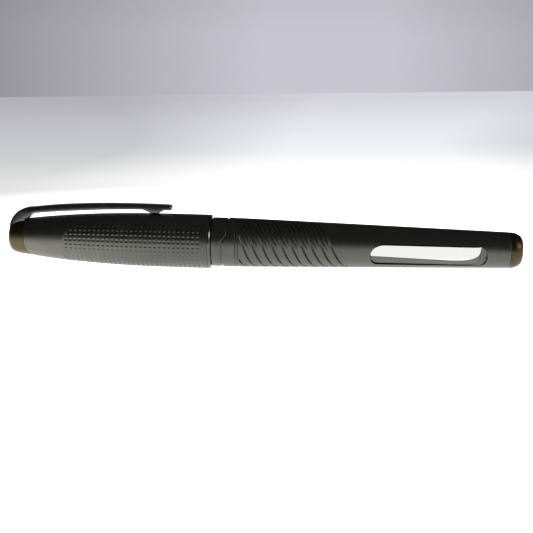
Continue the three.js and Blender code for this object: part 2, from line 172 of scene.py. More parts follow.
class Nodes:
    """Short ways to build a node tree."""

    def __init__(self, tree):
        self.tree = tree

    def node(self, kind, **settings):
        made = self.tree.nodes.new(kind)
        for key, value in settings.items():
            setattr(made, key, value)
        return made

    def link(self, source, target):
        self.tree.links.new(source, target)

    def split(self, vector):
        """The X, Y and Z outputs of a vector."""
        made = self.node("ShaderNodeSeparateXYZ")
        self.link(vector, made.inputs["Vector"])
        return made.outputs

    def compute(self, operation, first, second=None):
        """A sum on one value, or on two where the second is a value or a number."""
        made = self.node("ShaderNodeMath", operation=operation)
        self.link(first, made.inputs[0])
        if isinstance(second, float):
            made.inputs[1].default_value = second
        elif second is not None:
            self.link(second, made.inputs[1])
        return made.outputs["Value"]

    def span(self, value, low, high, start=0.3, end=0.7):
        """Maps start..end of a value on to low..high."""
        made = self.node("ShaderNodeMapRange")
        made.inputs["From Min"].default_value = start
        made.inputs["From Max"].default_value = end
        made.inputs["To Min"].default_value = low
        made.inputs["To Max"].default_value = high
        self.link(value, made.inputs["Value"])
        return made.outputs["Result"]

    def ramp(self, value, stops):
        """Colours along 0..1 of a value, from (position, (r, g, b)) pairs."""
        made = self.node("ShaderNodeValToRGB")
        elements = made.color_ramp.elements
        while len(elements) < len(stops):
            elements.new(0.5)
        for element, (position, colour) in zip(elements, stops):
            element.position = position
            element.color = (*colour, 1.0)
        self.link(value, made.inputs["Fac"])
        return made.outputs["Color"]

    def mix(self, factor, first, second):
        made = self.node("ShaderNodeMix", data_type="RGBA")
        self.link(factor, made.inputs["Factor"])
        for socket, value in ((made.inputs["A"], first), (made.inputs["B"], second)):
            if isinstance(value, tuple):
                socket.default_value = value
            else:
                self.link(value, socket)
        return made.outputs["Result"]


class Finish(Nodes):
    """A procedural material built round one Principled shader."""

    def __init__(self, name, base, metallic=1.0, roughness=0.3):
        self.material = bpy.data.materials.new(name)
        self.material.use_nodes = True
        super().__init__(self.material.node_tree)
        self.shader = self.tree.nodes["Principled BSDF"]
        self.shader.inputs["Base Color"].default_value = base
        self.shader.inputs["Metallic"].default_value = metallic
        self.shader.inputs["Roughness"].default_value = roughness
        self.material.diffuse_color = base
        self.place = self.node("ShaderNodeTexCoord").outputs["Object"]
        self.normal = None

    def noise(self, per_metre, detail=4.0, rough=0.55, stretch=(1.0, 1.0, 1.0)):
        """Noise with features of about 1/per_metre, stretched by dividing the frequency on an axis."""
        mapping = self.node("ShaderNodeMapping")
        mapping.inputs["Scale"].default_value = [per_metre / s for s in stretch]
        self.link(self.place, mapping.inputs["Vector"])
        texture = self.node("ShaderNodeTexNoise")
        texture.inputs["Scale"].default_value = 1.0
        texture.inputs["Detail"].default_value = detail
        texture.inputs["Roughness"].default_value = rough
        self.link(mapping.outputs["Vector"], texture.inputs["Vector"])
        return texture.outputs["Fac"]

    def colour(self, source):
        self.link(source, self.shader.inputs["Base Color"])

    def rough(self, source):
        self.link(source, self.shader.inputs["Roughness"])

    def bump(self, height, distance, strength=1.0):
        made = self.node("ShaderNodeBump")
        made.inputs["Strength"].default_value = strength
        made.inputs["Distance"].default_value = distance
        self.link(height, made.inputs["Height"])
        if self.normal is not None:
            self.link(self.normal, made.inputs["Normal"])
        self.normal = made.outputs["Normal"]
        self.link(self.normal, self.shader.inputs["Normal"])

    def worn(self):
        """High on outer edges, low in hollows."""
        return self.node("ShaderNodeNewGeometry").outputs["Pointiness"]


def satin_metal(name, base, dark, light, roughness, grain=0.3, wear=0.35):
    """Blasted and plated metal: slow mottling, a fine grain, and brighter rubbed edges."""
    finish = Finish(name, base, 1.0, roughness)
    mottle = finish.mix(finish.span(finish.noise(260.0, 5.0), 0.0, 1.0), dark, base)
    speck = finish.span(finish.noise(5200.0, 2.0), 0.0, 0.22, 0.5, 0.75)
    tone = finish.mix(speck, mottle, light)
    edge = finish.span(finish.worn(), 0.0, wear, 0.515, 0.56)
    finish.colour(finish.mix(edge, tone, light))
    patches = finish.noise(700.0, 6.0)
    finish.rough(finish.span(patches, roughness - 0.035, roughness + 0.05))
    finish.bump(finish.noise(9000.0, 2.0), 0.0000012, grain)
    return finish


def turned_metal(name, base, dark, light, roughness, lines=6000.0, depth=0.000004):
    """Lathe-turned metal: rings round the pen's axis crossed by faint stains."""
    finish = Finish(name, base, 1.0, roughness)
    rings = finish.noise(lines, 3.0, 0.6, stretch=(1.0, 90.0, 90.0))
    tone = finish.mix(finish.span(rings, 0.0, 0.5), base, light)
    stain = finish.span(finish.noise(420.0, 5.0), 0.0, 0.6, 0.45, 0.75)
    finish.colour(finish.mix(stain, tone, dark))
    finish.rough(finish.span(rings, roughness - 0.05, roughness + 0.07))
    finish.bump(rings, depth, 0.6)
    return finish


def moulded(name, base, light, roughness, grain=3000.0, depth=0.000008):
    """Moulded plastic, resin or rubber: faint flow marks and a fine skin."""
    finish = Finish(name, base, 0.0, roughness)
    flow = finish.noise(220.0, 4.0, 0.5, stretch=(4.0, 1.0, 1.0))
    finish.colour(finish.mix(finish.span(flow, 0.0, 0.6), base, light))
    finish.rough(finish.span(finish.noise(900.0, 5.0), roughness - 0.05, roughness + 0.08))
    finish.bump(finish.noise(grain, 3.0), depth, 0.3)
    return finish


def polished_plate():
    """The plate's face: a mirror with fine lengthwise hairlines."""
    finish = Finish("plate_mirror", grey(0.79, MIRROR_TINT), 1.0, 0.07)
    hairlines = finish.noise(9000.0, 3.0, 0.6, stretch=(60.0, 1.0, 1.0))
    finish.colour(finish.mix(finish.span(hairlines, 0.0, 0.5), grey(0.81, MIRROR_TINT), grey(0.73)))
    finish.rough(finish.span(finish.noise(800.0, 5.0), 0.05, 0.11))
    finish.bump(hairlines, 0.000001, 0.25)
    return finish


def brushed_bevel():
    """The plate's sloping band: darker metal with lengthwise strokes."""
    finish = Finish("plate_bevel", grey(0.135, (0.98, 1.0, 0.96)), 1.0, 0.3)
    strokes = finish.noise(7000.0, 3.0, 0.6, stretch=(50.0, 1.0, 1.0))
    dark, light = grey(0.115, (0.98, 1.0, 0.96)), grey(0.16, (0.98, 1.0, 0.97))
    finish.colour(finish.mix(finish.span(strokes, 0.0, 0.8), dark, light))
    finish.rough(finish.span(strokes, 0.24, 0.36))
    finish.bump(strokes, 0.000002, 0.4)
    return finish


def inked_fibre():
    """The reservoir's bundled fibre, soaked in blue-black ink."""
    finish = Finish("ink_fibre", (0.012, 0.016, 0.05, 1.0), 0.0, 0.9)
    strands = finish.noise(6000.0, 3.0, 0.6, stretch=(25.0, 1.0, 1.0))
    dark, light = (0.008, 0.01, 0.03, 1.0), (0.03, 0.04, 0.11, 1.0)
    finish.colour(finish.mix(finish.span(strands, 0.0, 1.0), dark, light))
    finish.rough(finish.span(strands, 0.8, 0.95))
    finish.bump(strands, 0.00004, 0.8)
    return finish


GUNMETAL_TINT = (1.0, 1.0, 0.88)
MIRROR_TINT = (1.0, 1.0, 0.945)
CLIP_TINT = (1.0, 0.96, 1.06)
RUBBED = grey(0.2, (1.0, 0.99, 0.9))

gunmetal = satin_metal(
    "gunmetal", grey(0.138, GUNMETAL_TINT), grey(0.125, GUNMETAL_TINT), RUBBED, 0.39
).material
lip_metal = satin_metal(
    "gunmetal_lip", grey(0.14, (1.0, 0.99, 0.88)), grey(0.125, GUNMETAL_TINT), RUBBED, 0.22
).material
bronze = satin_metal(
    "bronze", (0.103, 0.085, 0.047, 1.0), (0.08, 0.066, 0.038, 1.0), (0.17, 0.14, 0.085, 1.0), 0.38,
    wear=0.5
).material
clip_metal = satin_metal(
    "clip_plating", grey(0.19, CLIP_TINT), grey(0.175, CLIP_TINT), grey(0.2, (1.0, 0.97, 1.06)),
    0.33, 0.08, wear=0.0
).material
mirror = polished_plate().material
plate_bevel = brushed_bevel().material
brass = turned_metal(
    "turned_brass", (0.50, 0.36, 0.13, 1.0), (0.28, 0.19, 0.07, 1.0), (0.66, 0.50, 0.22, 1.0), 0.3
).material
spring_steel = turned_metal(
    "spring_steel", grey(0.34, (0.98, 0.99, 1.03)), grey(0.2), grey(0.5), 0.28, 3000.0
).material
refill_steel = turned_metal(
    "refill_steel", grey(0.48, (1.0, 1.0, 1.02)), grey(0.36), grey(0.6), 0.24, 2500.0, 0.000002
).material
carbide = turned_metal(
    "carbide", grey(0.27, (0.97, 0.98, 1.05)), grey(0.2), grey(0.36), 0.12, 9000.0, 0.000001
).material
resin = moulded("black_resin", grey(0.008), grey(0.014), 0.28).material
liner = moulded("liner_plastic", grey(0.012), grey(0.02), 0.5).material
refill_plastic = moulded("refill_plastic", (0.014, 0.018, 0.028, 1.0), grey(0.03), 0.4).material
rubber = moulded("rubber", grey(0.005), grey(0.011), 0.75, 5000.0, 0.00002).material
fibre = inked_fibre().material


def fit(piece, body, nodes, slot, *materials):
    """Finishes a piece: its materials, its body and the nodes it stands for; its slot is not used."""
    piece.data.materials.clear()
    for material in materials:
        piece.data.materials.append(material)
    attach(piece, body)
    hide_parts(*nodes)


# ---- Cap ----

def cap_radius(s):
    return 7.32 - 2.3 * (np.maximum(0.0, 46.0 - s) / 40.5) ** 2.3


KNURL_PITCH = 1.27
KNURL_ANGLE = 9.75
KNURL_STATION = 53.1  # centre of the last row before the mouth
KNURL_SIDE = 81.0
KNURL_DEPTH = 0.135


def knurl(s, angle):
    """How much lower the cap is, as a negative: a sunk panel on each side, full of truncated pyramids."""
    around = np.abs((angle + 180.0) % 360.0 - 180.0)
    per_degree = cap_radius(s) * math.pi / 180.0
    front = 16.3 + 3.0 * (np.abs(around - 112.0) / 66.0) ** 2.4
    inset = np.minimum(
        np.minimum(s - front, 54.15 - s),
        np.minimum((around - 45.9) * per_degree, (175.6 - around) * per_degree),
    )
    sunk = np.clip(inset / 0.3, 0.0, 1.0)
    u = (s - KNURL_STATION) / KNURL_PITCH
    v = (around - KNURL_SIDE) / KNURL_ANGLE
    edge = np.maximum(np.abs(u - np.round(u)), np.abs(v - np.round(v))) * 2.0
    pyramid = np.clip((0.75 - edge) / 0.5, 0.0, 1.0)
    return -KNURL_DEPTH * sunk * (1.0 - pyramid * np.clip((inset - 0.3) / 0.15, 0.0, 1.0))


def crown_joint(angle):
    """The joint between finial and cap runs back a little under the pen."""
    around = np.abs((angle + 180.0) % 360.0 - 180.0)
    return 0.95 * np.clip((around - 85.0) / 75.0, 0.0, 1.0) ** 1.6


def mirrored(half):
    """Angles for a full turn from those of one side, 0 and 180 included."""
    half = np.asarray(half, float)
    return np.concatenate([half, 360.0 - half[1:-1][::-1]])


def cap_barrel():
    """The cap's wall, knurled outside; its front edge follows the joint with the finial."""
    fine = KNURL_SIDE + KNURL_ANGLE / 8 * np.arange(-29, 79)
    columns = mirrored([*np.linspace(0, fine[0], 16)[:-1], *fine, 177.4, 178.7, 180.0])
    fine = KNURL_STATION + KNURL_PITCH / 8 * np.arange(-233, 8)
    plain = np.linspace(5.9, fine[0], 20)[:-1]
    outer = np.array([5.55, 5.59, 5.65, *plain, *fine, 54.6, 55.0, 55.4, 55.53, 55.58])
    drop = np.interp(outer, [5.55, 5.65, 55.53, 55.58], [0.08, 0.0, 0.0, 0.05])
    inner = np.array([55.58, 50.0, 44.0, 38.0, 32.0, 26.0, 20.0, 15.0, 11.0, 11.0, 5.55])
    bore = np.where(inner < 11.5, 4.25, cap_radius(inner) - 0.9)
    bore[-3] = float(cap_radius(np.array(11.0))) - 0.9  # the step down to the narrow bore
    heights = np.concatenate([cap_radius(outer) - drop, bore])
    count = len(outer)
    stations, radii = spun(np.stack([np.concatenate([outer, inner]), heights], axis=1), len(columns))
    radii[:count] += knurl(stations[:count], columns[None, :])
    follow = np.clip((12.0 - stations) / 6.0, 0.0, 1.0) ** 1.5
    follow[count:-1] = 0.0
    stations = stations + follow * crown_joint(columns)[None, :]
    return sweep("cap_barrel", stations, radii, columns, sharp=17.0)


fit(cap_barrel(), "cap", ["cap_shell"], "gunmetal", gunmetal)
fit(
    turned(
        "cap_lip", [(55.62, 7.27), (55.72, 7.32), (55.94, 7.32), (56.38, 7.01), (56.4, 6.8)],
        [(55.62, 6.35), (56.4, 6.35)], 0.05
    ),
    "cap", ["cap_lip_ring"], "gunmetal", lip_metal,
)

sleeve_stations = np.linspace(11.2, 55.4, 24)
fit(
    turned(
        "cap_inner_sleeve",
        [(s, float(cap_radius(s)) - 0.95) for s in sleeve_stations],
        [(s, float(cap_radius(s)) - 1.6) for s in sleeve_stations], 0.06, 96
    ),
    "cap", ["cap_liner"], "liner_plastic", liner,
)


def finial():
    """The crown's cup, slotted from above for the clip."""
    cup = rounded(
        [
            (1.0, 0.0), (1.0, 3.2), (1.15, 3.5), (1.4, 3.8), (1.9, 4.2), (2.6, 4.5), (3.7, 4.76),
            (4.7, 4.92), (5.5, 5.02), (5.5, 4.15), (4.2, 4.05), (3.4, 3.92), (2.6, 3.6), (1.9, 2.9),
            (1.9, 0.0),
        ], 0.14, 5, closed=False
    )
    sides = 144
    around = np.arange(sides) * 360.0 / sides
    stations, radii = spun(cup, sides)
    stations = stations + np.clip((stations - 1.6) / 3.9, 0.0, 1.0) ** 2 * crown_joint(around)[None, :]
    piece = sweep("finial", stations, radii, around, closed=False)
    cut(piece, box_tool((0.0, -2.25, 1.4), (6.5, 2.25, 8.0)))
    return piece


fit(finial(), "cap", ["cap_finial"], "bronze", bronze)


# ---- Clip ----

def ribbon(name, outline, half_width, bevel):
    """An anticlockwise side outline given thickness across the pen, with its edges rounded over."""
    outline = np.array(outline, float)
    ahead = np.roll(outline, -1, axis=0) - outline
    ahead /= np.linalg.norm(ahead, axis=1)[:, None]
    bisect = ahead + np.roll(ahead, 1, axis=0)
    bisect /= np.linalg.norm(bisect, axis=1)[:, None]
    inward = np.stack([-bisect[:, 1], bisect[:, 0]], axis=1)
    turns = np.radians(np.linspace(0, 90, 5))
    count = len(outline)
    layers = []
    for side in (-1.0, 1.0):
        for turn in (turns[::-1] if side < 0 else turns):
            place = outline + inward * bevel * (1.0 - math.cos(turn))
            across = side * (half_width - bevel * (1.0 - math.sin(turn)))
            layers.append(to_frame(place[:, 0], np.full(count, across), place[:, 1]))
    faces = [list(range(count)), list(range((len(layers) - 1) * count, len(layers) * count))[::-1]]
    for k in range(len(layers) - 1):
        for j in range(count):
            a, b = k * count + j, k * count + (j + 1) % count
            faces.append([a, a + count, b + count, b])
    return new_object(name, np.array(layers), faces, 30.0)


OUTER_ROUNDING = (0.7, 0.5)  # across the strap and through it
INNER_ROUNDING = (0.45, 0.34)
SIDE_CLOSING = 0.17  # share of the half width that the sides lose towards the outer face


def strap_half_width(s):
    taper = np.interp(s, [8.0, 44.6], [2.1, 1.8])
    return taper * np.sqrt(1.0 - np.clip((s - 43.9) / 1.75, 0.0, 1.0) ** 2.5)


def strap_section(thick, half):
    """Half of the strap's section, from the middle of its outer face round to the middle of its inner one.

    The points are (distance across, height above the inner face), for every row of the strap at once."""
    turns = np.radians(np.linspace(0, 90, 7))
    upper = np.minimum(OUTER_ROUNDING[1], 0.42 * thick)
    lower = np.minimum(INNER_ROUNDING[1], 0.42 * thick)
    middle = np.zeros(len(thick))
    half_section = [(middle, thick), (half * 0.4, thick)]
    for turn in turns:
        across = half - OUTER_ROUNDING[0] * (1 - math.sin(turn))
        half_section.append((across, thick - upper * (1 - math.cos(turn))))
    half_section.append((half, thick * 0.5))
    for turn in turns:
        across = half - INNER_ROUNDING[0] * (1 - math.cos(turn))
        half_section.append((across, lower * (1 - math.sin(turn))))
    return half_section + [(half * 0.4, middle), (middle, middle)]


def strap(name, outer_face, inner_face):
    """A strap between two matching curves: its sides close in outwards and all its edges are rounded."""
    outer_face, inner_face = np.array(outer_face), np.array(inner_face)
    thick = np.linalg.norm(outer_face - inner_face, axis=1)
    section = []
    for across, up in strap_section(thick, strap_half_width(inner_face[:, 0])):
        closing = SIDE_CLOSING * np.clip((up / thick - 0.3) / 0.7, 0.0, 1.0)
        section.append((across * (1.0 - closing), up / thick))
    section += [(-across, up) for across, up in section[-2:0:-1]]
    columns = []
    for across, up in section:
        place = inner_face + (outer_face - inner_face) * up[:, None]
        columns.append(to_frame(place[:, 0], across, place[:, 1]))
    points = np.stack(columns, axis=1)
    rows, cols = points.shape[:2]
    faces = [
        (k * cols + j, k * cols + (j + 1) % cols, (k + 1) * cols + (j + 1) % cols, (k + 1) * cols + j)
        for k in range(rows - 1) for j in range(cols)
    ]
    faces += [list(range(cols))[::-1], list(range((rows - 1) * cols, rows * cols))]
    return new_object(name, points, faces, 40.0)


def resampled(points, count):
    """Points spaced evenly along a line."""
    points = np.array(points)
    along = np.concatenate([[0.0], np.cumsum(np.linalg.norm(np.diff(points, axis=0), axis=1))])
    at = np.linspace(0.0, along[-1], count)
    return np.stack([np.interp(at, along, points[:, 0]), np.interp(at, along, points[:, 1])], axis=1)


def between_points(start, control, end, count):
    """A curve of one bend, from start to end."""
    t = np.linspace(0, 1, count)[:, None]
    return (1 - t) ** 2 * np.array(start) + 2 * t * (1 - t) * np.array(control) + t * t * np.array(end)


BEND_STATION, BEND_HEIGHT, BEND_RADIUS = 6.87, 2.0, 6.17
CLIP_TOP = 9.84
FOOT = float(cap_radius(40.5)) + 0.1


def straight_faces():
    """The straight strap's outer and inner faces, the inner one with its foot, up to a blunt round tip."""
    top = [(BEND_STATION, 8.17), (15, 9.06), (26, 9.68), (37, CLIP_TOP), (43.5, 9.78), (45.6, 9.64)]
    under = [
        (BEND_STATION, 6.12), (7.25, 6.45), (8.3, 6.68), (14, 7.22), (25, 7.97), (33, 8.28), (37.35, 8.35)
    ]
    top, under = spline(top, 16), spline(under, 16)
    under += spline([(37.5, 8.34), (38.5, FOOT + 0.56), (39.5, FOOT + 0.14), (40.1, FOOT)], 6)
    under += spline([(41.3, FOOT), (41.9, FOOT + 0.14), (42.7, FOOT + 0.56), (43.5, 8.32), (45.6, 8.26)], 6)
    top, under = np.array(top), np.array(under)
    tip = [44.7, 44.9, 45.05, 45.17, 45.26, 45.32, 45.35, 45.36]
    s = np.concatenate([np.linspace(BEND_STATION, 37.2, 50), np.linspace(37.4, 44.4, 57), tip])
    close = 0.5 * (1.0 - np.sqrt(1.0 - np.clip((s - 44.9) / 0.47, 0.0, 0.995) ** 2))
    outer_height = np.minimum(np.interp(s, top[:, 0], top[:, 1]), CLIP_TOP) - close * 0.75
    inner_height = np.interp(s, under[:, 0], under[:, 1]) + close * 0.9
    return np.stack([s, outer_height], axis=1), np.stack([s, inner_height], axis=1)


def bend_faces():
    """The strap's faces where it wraps down over the crown, into the finial's slot."""
    outer_bend = [
        (
            BEND_STATION + BEND_RADIUS * math.cos(math.radians(a)),
            BEND_HEIGHT + BEND_RADIUS * math.sin(math.radians(a)),
        )
        for a in range(180, 90, -2)
    ]
    fillet = between_points((6.15, 5.17), (6.4, 5.8), (6.85, 6.1), 12)
    inner_bend = [(1.9, 2.0), (1.95, 3.0), (2.8, 3.8), (3.8, 4.2), (5.25, 4.35), (5.38, 5.1), *fillet]
    return resampled(outer_bend, 50), resampled(inner_bend, 50)


outer_bend, inner_bend = bend_faces()
outer_straight, inner_straight = straight_faces()
clip_strap = strap(
    "pocket_clip", np.concatenate([outer_bend, outer_straight[1:]]),
    np.concatenate([inner_bend, inner_straight[1:]])
)
tang = ribbon(
    "tang",
    [(2.4, 4.0), (2.4, 1.5), (2.6, -1.7), (3.5, -1.7), (3.5, 0.9), (4.8, 1.8), (4.8, 2.8), (3.8, 4.0)],
    1.2, 0.12
)


def pin_hole_tool():
    """A rod across the pen where the clip's pivot pin runs."""
    centre, radius, sides = (3.9, 2.3), 0.55, 32
    turns = np.radians(np.arange(sides) * 360.0 / sides)
    ends = [
        to_frame(centre[0] + radius * np.cos(turns), np.full(sides, y), centre[1] + radius * np.sin(turns))
        for y in (-4.0, 4.0)
    ]
    faces = [list(range(sides)), list(range(sides, 2 * sides))[::-1]]
    faces += [[k, k + sides, (k + 1) % sides + sides, (k + 1) % sides] for k in range(sides)]
    return new_object("tool", np.concatenate(ends), faces)


cut(tang, pin_hole_tool())
with bpy.context.temp_override(
    active_object=clip_strap, object=clip_strap, selected_objects=[clip_strap, tang],
    selected_editable_objects=[clip_strap, tang],
):
    bpy.ops.object.join()
smooth(clip_strap, 40.0)
fit(clip_strap, "clip", ["clip"], "gunmetal", clip_metal)


# ---- Writing section ----

def ridges(start, count, pitch, root, crest):
    out = []
    for k in range(count):
        at = start + k * pitch
        out += [(at, root), (at + 0.2, crest), (at + 0.38, crest), (at + 0.58, root)]
    return out


fit(
    turned(
        "grip",
        [
            (22.3, 3.95), (23.2, 4.1), (26, 4.19), (30, 4.32), (35, 4.52), (40, 4.72), (48, 5.02),
            (50.9, 5.12), (50.9, 4.85), (52.3, 4.85), (52.3, 5.15), (55.6, 5.2),
        ],
        [(22.3, 3.65), (27.0, 3.65), (27.0, 3.15), (51.5, 3.15), (51.5, 4.05), (55.6, 4.05)], 0.1
    ),
    "section", ["grip_section"], "black_resin", resin,
)
fit(
    turned(
        "nose_cone", [(15.4, 1.6), (15.6, 1.75), (22.2, 3.9), (22.2, 3.6), (26.8, 3.6)],
        [(15.4, 1.3), (17.5, 1.3), (19.0, 2.35), (21.5, 3.05), (26.8, 3.05)], 0.07
    ),
    "section", ["section_nose_cone"], "gunmetal", gunmetal,
)
fit(
    turned(
        "threaded_spigot",
        [
            (51.6, 4.0), (56.6, 4.0), (57.1, 4.5), (57.2, 3.9), (58.2, 3.9), (58.3, 4.5), (60.5, 4.5),
            (60.7, 4.2), *ridges(61.2, 5, 0.75, 4.2, 4.6), (64.95, 4.2), (66.4, 4.2),
        ],
        [(51.6, 3.15), (66.4, 3.15)], 0.05
    ),
    "section", ["section_thread"], "turned_brass", brass,
)
fit(
    turned(
        "flange_ring", [(55.7, 5.75), (55.9, 5.95), (56.5, 5.95)], [(55.7, 4.05), (56.5, 4.05)], 0.06
    ),
    "section", ["section_flange_ring"], "gunmetal", gunmetal,
)
fit(
    turned(
        "snap_ring", [(51.0, 5.2), (51.3, 5.45), (51.9, 5.45), (52.2, 5.2)], [(51.0, 4.9), (52.2, 4.9)], 0.1
    ),
    "section", ["cap_snap_ring"], "spring_steel", spring_steel,
)
ring = np.radians(np.arange(24) * 15.0)
ring_profile = np.stack([57.7 + 0.4 * np.sin(ring), 4.38 + 0.4 * np.cos(ring)], axis=1)
fit(
    sweep("o_ring", *spun(ring_profile, 96), np.arange(96) * 3.75),
    "section", ["section_o_ring"], "rubber", rubber,
)


# ---- Refill ----

BALL_STATION, BALL_RADIUS, SOCKET_RADIUS = 13.05, 0.35, 0.38
# The ball's socket, from the tip's mouth round to the ink channel.
socket = [
    (BALL_STATION + SOCKET_RADIUS * math.cos(a), SOCKET_RADIUS * math.sin(a))
    for a in np.linspace(math.acos(-0.15 / SOCKET_RADIUS), 0.321, 7)
]
fit(
    turned(
        "writing_tip", [(12.9, 0.43), (13.4, 0.6), (15.2, 1.2), (21.0, 1.2)], [*socket, (21.0, 0.12)],
        0.03, 72
    ),
    "refill", ["refill_tip"], "refill_steel", refill_steel,
)
poles = np.radians(np.linspace(180, 0, 25))
ball_profile = np.stack([BALL_STATION + BALL_RADIUS * np.cos(poles), BALL_RADIUS * np.sin(poles)], axis=1)
fit(
    sweep("ball", *spun(ball_profile, 48), np.arange(48) * 7.5, closed=False, sharp=60.0),
    "ball", ["rollerball"], "carbide", carbide,
)
fit(
    turned(
        "refill_nose_plug",
        [(19.0, 1.9), (19.6, 2.2), (26.2, 2.2), (26.4, 2.9), (27.05, 2.9), (27.05, 2.55), (29.0, 2.55)],
        [(19.0, 1.25), (21.1, 1.25), (21.1, 0.6), (29.0, 0.6)], 0.06, 72
    ),
    "refill", ["refill_nose"], "refill_plastic", refill_plastic,
)
fit(
    turned(
        "refill_body", [(27.15, 3.0), (60.0, 3.0), (122.6, 3.0)],
        [(27.15, 2.6), (60.0, 2.6), (122.6, 2.6)], 0.08, 96
    ),
    "refill", ["refill_tube"], "refill_steel", refill_steel,
)


# ---- Barrel ----

def barrel_radius(s):
    return 6.7 - 0.0194 * np.maximum(0.0, s - 61.0) ** 1.06


def seam_step(angle):
    """How far the stepped seam runs back from its side station, at an angle."""
    around = np.abs((angle + 180.0) % 360.0 - 180.0)
    return 1.45 * (1.0 - np.clip((around - 66.0) / 18.0, 0.0, 1.0))


RING_STATIONS = (62.98, 63.7)
GROOVES = 11
HOOK_STATION = 66.1
HOOK_PITCH = 2.685
HOOK_ANGLE = 152.0
TAIL_ANGLE = 150.6
TAIL_DEPTH = 0.55


def groove_run(around):
    """How far forward of its hook a groove is, at an angle from the top."""
    return np.interp(
        around, [0, 60, 92, 111, 132, 143, 150, 151.8], [-9.7, -5.75, -4.07, -3.07, -1.9, -1.25, -0.75, 0.0]
    )


def notch(d):
    """A groove's section: flat at the bottom, steeper at the back."""
    return np.where(d < 0, np.clip(1.5 + d * 4.6, 0, 1), np.clip(1.5 - d * 6.2, 0, 1))


def fluting(s, angle):
    """How much lower the barrel is, as a negative: long slanting grooves with hooks, short ones between."""
    around = np.abs((angle + 180.0) % 360.0 - 180.0)
    depth = np.zeros(np.broadcast(s, around).shape)
    run = groove_run(around)
    spread = 0.155 * (1.0 - around / HOOK_ANGLE)
    deeper = np.clip((around - 80.0) / 35.0, 0.0, 1.0)
    long_cut = (0.17 + 0.33 * deeper) * np.clip((HOOK_ANGLE + 0.9 - around) / 0.9, 0.0, 1.0)
    short_cut = 0.2 * np.clip((118.0 - around) / 60.0, 0.0, 1.0)
    beside = np.clip(1.6 - np.abs(around - TAIL_ANGLE) / 1.7, 0, 1)
    for k in range(GROOVES):
        hook = HOOK_STATION + HOOK_PITCH * k
        at = hook + run + spread * (GROOVES - 1 - k)
        depth = np.maximum(depth, long_cut * notch(s - at))
        if k:
            depth = np.maximum(depth, short_cut * notch(s - at + (HOOK_PITCH - spread) / 2))
        depth = np.maximum(depth, TAIL_DEPTH * beside * ((s > hook - 0.85) & (s < hook + 0.2)))
    start = np.clip((s - 64.0) / 0.25, 0.0, 1.0)
    return -depth * start


def rings(s):
    """Two fine turned lines behind the seam."""
    return -0.13 * sum(np.clip(1.0 - np.abs(s - at) / 0.14, 0.0, 1.0) for at in RING_STATIONS)


def barrel_sleeve():
    """The barrel's wall with its fluting and rings; its front edge follows the stepped seam."""
    edge_rows = [59.55, 59.57, 59.62, 59.7, 60.4, 61.2, 62.0, 62.6]
    ring_rows = [62.75, 62.84, 62.91, 62.98, 63.05, 63.12, 63.3, 63.5, 63.56, 63.63, 63.7, 63.77, 63.84]
    fluted_rows = np.arange(63.95, 94.2, 0.12)
    outer = np.array([*edge_rows, *ring_rows, *fluted_rows, *np.linspace(94.6, 135.7, 46), 135.8, 135.86])
    drop = np.interp(
        outer, [59.55, 59.57, 59.62, 59.7, 135.7, 135.8, 135.86], [0.16, 0.1, 0.03, 0.0, 0.0, 0.02, 0.07]
    )
    inner = [135.86, 97.5, 96.5, 68.1, 68.1, 59.55]
    bore = [3.9, 3.9, 4.9, 4.9, 5.92, 5.92]
    columns = mirrored([*np.linspace(0, 153, 103), *np.linspace(156, 180, 9)])
    heights = np.concatenate([barrel_radius(outer) - drop, bore])
    count = len(outer)
    stations, radii = spun(np.stack([np.concatenate([outer, inner]), heights], axis=1), len(columns))
    radii[:count] += fluting(stations[:count], columns[None, :]) + rings(stations[:count])
    follow = np.clip((62.6 - stations) / (62.6 - 59.7), 0.0, 1.0)
    follow[count:-1] = 0.0
    stations = stations + follow * seam_step(columns)[None, :]
    return sweep("barrel_sleeve", stations, radii, columns, sharp=19.0)


# The inlaid plate: flatter than the barrel, with a sloping band along its lower and rear edges.
PLATE_START, PLATE_END, PLATE_FACING, PLATE_HALF = 98.9, 129.7, 108.5, 2.8
PLATE_CURVE = 8.4
SCRIBED_STATION = 121.5
POCKET_GAP = 0.09
POCKET_FLOOR = 3.98


def plate_half(s, grow, upper):
    """Half width of the plate's outline at a station, on its upper or lower edge."""
    front, rear = (3.9, 2.4) if upper else (2.3, 2.2)
    a = np.clip((s - PLATE_START + grow) / front, 0.0, 1.0)
    b = np.clip((PLATE_END + grow - s) / rear, 0.0, 1.0)
    half = np.interp(s, [PLATE_START, PLATE_END], [3.15, PLATE_HALF]) if upper else PLATE_HALF
    return (half + grow) * np.sqrt(1 - (1 - a) ** 2.1) * np.sqrt(1 - (1 - b) ** 2.1)


def plate_stations(grow, count):
    """Stations along the plate, closer together towards its ends."""
    t = np.linspace(0, math.pi, count)
    ease = (1 - np.cos(t)) / 2
    ease = 0.5 * ease + 0.5 * np.linspace(0, 1, count)
    return PLATE_START - grow + (PLATE_END - PLATE_START + 2 * grow) * ease


def band_edge(s):
    """Where the plate's flat face gives way to its sloping band."""
    rear = np.clip((s - 120.4) / 7.5, 0.0, 1.0)
    return -1.07 * np.clip((s - 98.9) / 21.5, 0, 1) + 3.87 * (1 - (1 - rear ** 3) ** (1 / 3))


def face_height(s, v):
    """Distance of the plate's face from the pen's axis, along its own facing."""
    flush = np.sqrt(barrel_radius(s) ** 2 - PLATE_HALF ** 2)
    crown = np.sqrt(PLATE_CURVE ** 2 - v ** 2) - math.sqrt(PLATE_CURVE ** 2 - PLATE_HALF ** 2)
    height = flush + crown + 0.02
    below = np.maximum(0.0, band_edge(s) - v)
    scribed = 0.05 * np.clip(1 - np.abs(s - SCRIBED_STATION) / 0.07, 0, 1) * (v > band_edge(s))
    return height - 0.13 * below ** 1.2 - scribed


